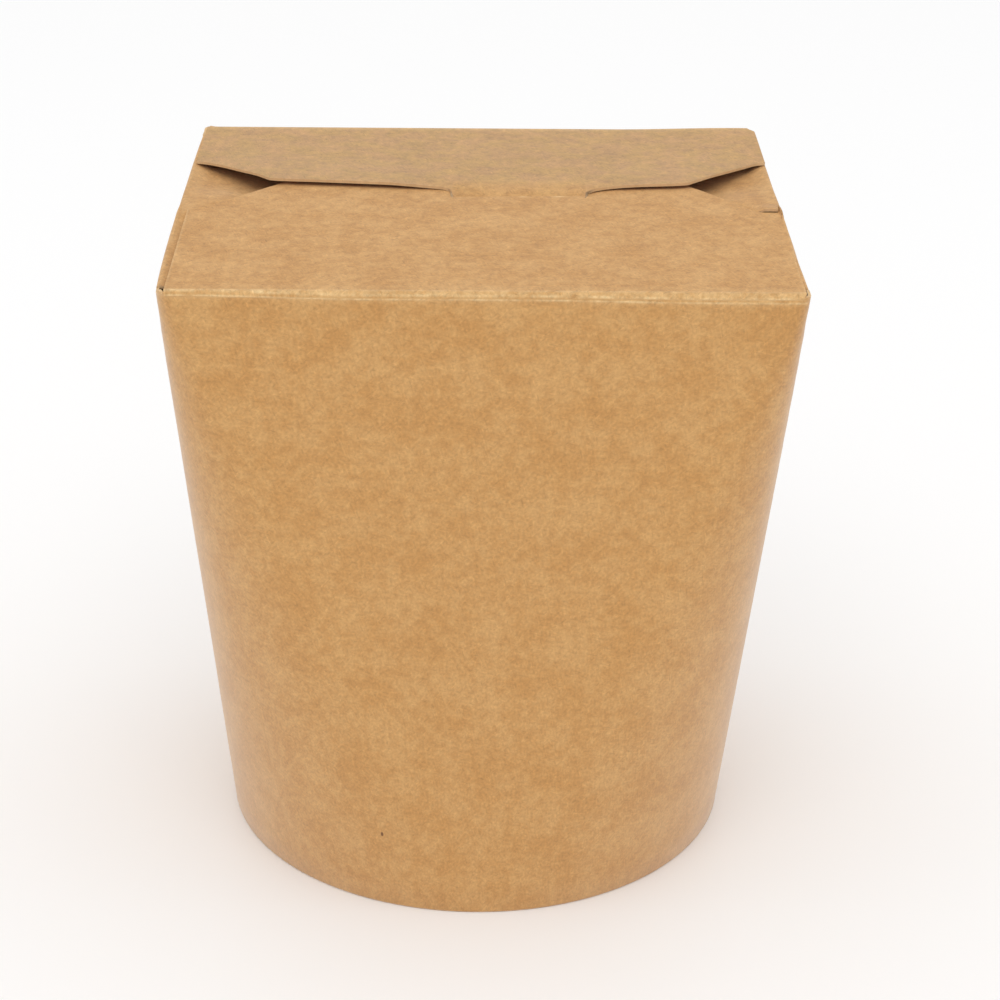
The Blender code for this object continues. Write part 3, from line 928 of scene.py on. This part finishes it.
def kraft_material(name, base, warm, grey, pale, edge=False):
    """Kraft board: clouds, mottling, fibres, specks, paler creases, and painted shade where the wear
    channel is below 0.
    """
    material = bpy.data.materials.new(name)
    nodes = Nodes(material)
    sheet = nodes.attribute("sheet", "Vector")
    wear = nodes.attribute("wear", "Fac")
    tone = nodes.attribute("tone", "Fac")
    flap = nodes.attribute("flap", "Fac")

    cloud = nodes.noise(sheet, 130.0, detail=3.0, roughness=0.55)
    vector = nodes.mapping(sheet, 0.0, (1.05, 0.9, 1.0))
    mottle = nodes.noise(vector, 600.0, detail=3.0, roughness=0.6)
    vector = nodes.mapping(sheet, 0.0, (1.0, 0.85, 1.0))
    grain = nodes.noise(vector, 2300.0, detail=1.0, roughness=0.4)
    strands = [
        fibres(nodes, sheet, turn, shift) for turn, shift in ((15, 0.0), (-45, 40.0), (75, 90.0))
    ]
    light = nodes.maths("MAXIMUM", nodes.maths("MAXIMUM", strands[0], strands[1]), strands[2])
    dark = nodes.maths("MINIMUM", nodes.maths("MINIMUM", strands[0], strands[1]), strands[2])

    value = nodes.maths("MULTIPLY", nodes.maths("SUBTRACT", cloud, 0.5), 0.20)
    value = nodes.maths("MULTIPLY_ADD", nodes.maths("SUBTRACT", mottle, 0.5), 0.34, value)
    value = nodes.maths("MULTIPLY_ADD", nodes.ramp(light, 0.60, 0.78), 0.12, value)
    value = nodes.maths("MULTIPLY_ADD", nodes.ramp(dark, 0.40, 0.24), -0.12, value)
    if edge:
        bold, fine = 0.4, 0.15
    else:
        bold = nodes.maths("MULTIPLY_ADD", flap, 0.6, 1.0)
        bold = nodes.maths("MULTIPLY_ADD", tone, 0.35, bold)
        fine = nodes.maths("MULTIPLY_ADD", flap, -0.09, 0.42)
        fine = nodes.maths("MULTIPLY_ADD", tone, -0.15, fine)
    value = nodes.maths("MULTIPLY_ADD", value, bold, 1.0)
    value = nodes.maths("MULTIPLY_ADD", nodes.maths("SUBTRACT", grain, 0.5), fine, value)

    clouded = nodes.maths("MULTIPLY_ADD", mottle, 0.5, nodes.maths("MULTIPLY", cloud, 0.5))
    hue = nodes.ramp(clouded, 0.36, 0.64)
    tinted = nodes.mix(hue, colour(*warm), colour(*base))
    if not edge:
        patch = nodes.ramp(nodes.noise(sheet, 210.0, detail=2.0, roughness=0.5), 0.38, 0.62)
        pinkish = colour(grey[0] * 1.005, grey[1] * 0.985, grey[2] * 1.04)
        yellowish = colour(grey[0] * 0.995, grey[1] * 1.01, grey[2] * 0.94)
        tinted = nodes.mix(tone, tinted, nodes.mix(patch, pinkish, yellowish))
    broken =nodes.ramp(nodes.noise(sheet, 900.0, detail=3.0, roughness=0.6), 0.30, 0.62, 0.35, 1.0)
    worn_and_shaded = nodes.maths("MULTIPLY", wear, broken)
    tinted = nodes.mix(nodes.maths("MULTIPLY", worn_and_shaded, 0.6, clamp=True), tinted, colour(*pale))
    for x, y, across, high, depth in SPECKS:
        shift = nodes.mapping(sheet, 0.0, (1 / across, 1 / high, 0.0), (-x / across, -y / high, 0.0))
        away = nodes.add("ShaderNodeVectorMath", {0: shift}, operation="LENGTH").outputs["Value"]
        spot = nodes.maths("MULTIPLY", nodes.ramp(away, 1.0, 0.5), depth)
        tinted = nodes.mix(spot, tinted, colour(0.16, 0.06, 0.015))
    # Below 0 the wear channel darkens the board: painted shade at the tongue's narrow sides by the
    # slit.
    value = nodes.maths("MULTIPLY_ADD", nodes.maths("MINIMUM", worn_and_shaded, 0.0), 0.35, value)
    grey_value = nodes.add("ShaderNodeCombineColor", {"Red": value, "Green": value, "Blue": value})
    final = nodes.mix(1.0, tinted, grey_value.outputs["Color"], blend="MULTIPLY")
    nodes.put(nodes.shader.inputs["Base Color"], final)

    roughness = nodes.ramp(mottle, 0.3, 0.7, 0.72, 0.86)
    nodes.put(nodes.shader.inputs["Roughness"], roughness)
    nodes.shader.inputs["Specular IOR Level"].default_value = 0.4
    sheen = 0.0 if edge else nodes.ramp(flap, 0.0, 1.0, 0.45, 0.13)
    nodes.put(nodes.shader.inputs["Sheen Weight"], sheen)
    nodes.shader.inputs["Sheen Roughness"].default_value = 0.5

    height = nodes.maths("MULTIPLY_ADD", grain, 0.3, nodes.maths("MULTIPLY", light, 0.8))
    height = nodes.maths("MULTIPLY_ADD", mottle, 0.8, height)
    bump = nodes.add(
        "ShaderNodeBump", {"Height": height, "Strength": 0.5 if edge else 0.35, "Distance": 0.00006}
    )
    nodes.put(nodes.shader.inputs["Normal"], bump.outputs["Normal"])
    return material


def make_floor():
    floor = new_object(
        "floor", [(-3, -3, 0), (3, -3, 0), (3, 3, 0), (-3, 3, 0)], [(0, 1, 2, 3)]
    )
    material = bpy.data.materials.new("pale floor")
    nodes = Nodes(material)
    nodes.shader.inputs["Base Color"].default_value = colour(0.96, 0.96, 0.96)
    nodes.shader.inputs["Roughness"].default_value = 0.9
    nodes.shader.inputs["Specular IOR Level"].default_value = 0.2
    floor.data.materials.append(material)


def make_light():
    """A soft dome, brightest overhead so that the gaps under the flaps stay dark, and a lamp."""
    world = bpy.data.worlds.new("studio")
    world.use_nodes = True
    tree = world.node_tree
    way = tree.nodes.new("ShaderNodeTexCoord").outputs["Generated"]
    split = tree.nodes.new("ShaderNodeSeparateXYZ")
    strength = tree.nodes.new("ShaderNodeMapRange")
    for name, value in (("From Min", 0.0), ("From Max", 1.0), ("To Min", 0.72), ("To Max", 1.09)):
        strength.inputs[name].default_value = value
    background = tree.nodes["Background"]
    background.inputs["Color"].default_value = colour(1.0, 1.0, 1.0)
    tree.links.new(way, split.inputs["Vector"])
    tree.links.new(split.outputs["Z"], strength.inputs["Value"])
    tree.links.new(strength.outputs["Result"], background.inputs["Strength"])
    bpy.context.scene.world = world
    lamp = bpy.data.lights.new("key", "AREA")
    lamp.shape = "DISK"
    lamp.size = 0.9
    lamp.energy = 2.65
    key = bpy.data.objects.new("key", lamp)
    key.location = (-0.05, -0.75, 1.15)
    key.rotation_euler = (Vector((0, 0, 0.05)) - key.location).to_track_quat("-Z", "Y").to_euler()
    bpy.context.scene.collection.objects.link(key)


def make_camera():
    """The camera stands where the photo's was, to about a pixel at the box's outline."""
    yaw, pitch, roll = (math.radians(a) for a in (1.2527, 24.847, 0.7536))
    level = math.cos(pitch)
    forward = Vector((math.sin(yaw) * level, math.cos(yaw) * level, -math.sin(pitch)))
    right = Vector((math.cos(yaw), -math.sin(yaw), 0.0))
    up = right.cross(forward)
    rolled_right = math.cos(roll) * right + math.sin(roll) * up
    rolled_up = math.cos(roll) * up - math.sin(roll) * right
    camera = bpy.data.objects.new("camera", bpy.data.cameras.new("camera"))
    camera.data.sensor_width = 36.0
    camera.data.lens = 92.09
    camera.data.clip_start = 0.01
    camera.data.clip_end = 100.0
    turn = Matrix((rolled_right, rolled_up, -forward)).transposed().to_4x4()
    camera.matrix_world = Matrix.Translation((-0.00507, -0.40107, 0.24145)) @ turn
    bpy.context.scene.collection.objects.link(camera)
    bpy.context.scene.camera = camera


def make_all():
    base = (0.570, 0.318, 0.114)
    warm = (0.551, 0.277, 0.081)
    grey = (0.505, 0.293, 0.116)
    pale = (0.785, 0.548, 0.270)
    edge_base = (0.650, 0.445, 0.250)
    edge_warm = (0.610, 0.405, 0.218)
    board = kraft_material("kraft board", base, warm, grey, pale)
    cut_edge = kraft_material("kraft cut edge", edge_base, edge_warm, grey, pale, edge=True)
    base_board = kraft_material("kraft base board", base, warm, grey, pale)
    make_carton(board, cut_edge)
    make_base(base_board)
    make_floor()
    make_light()
    make_camera()
    bpy.context.scene.view_settings.view_transform = "Standard"


make_all()
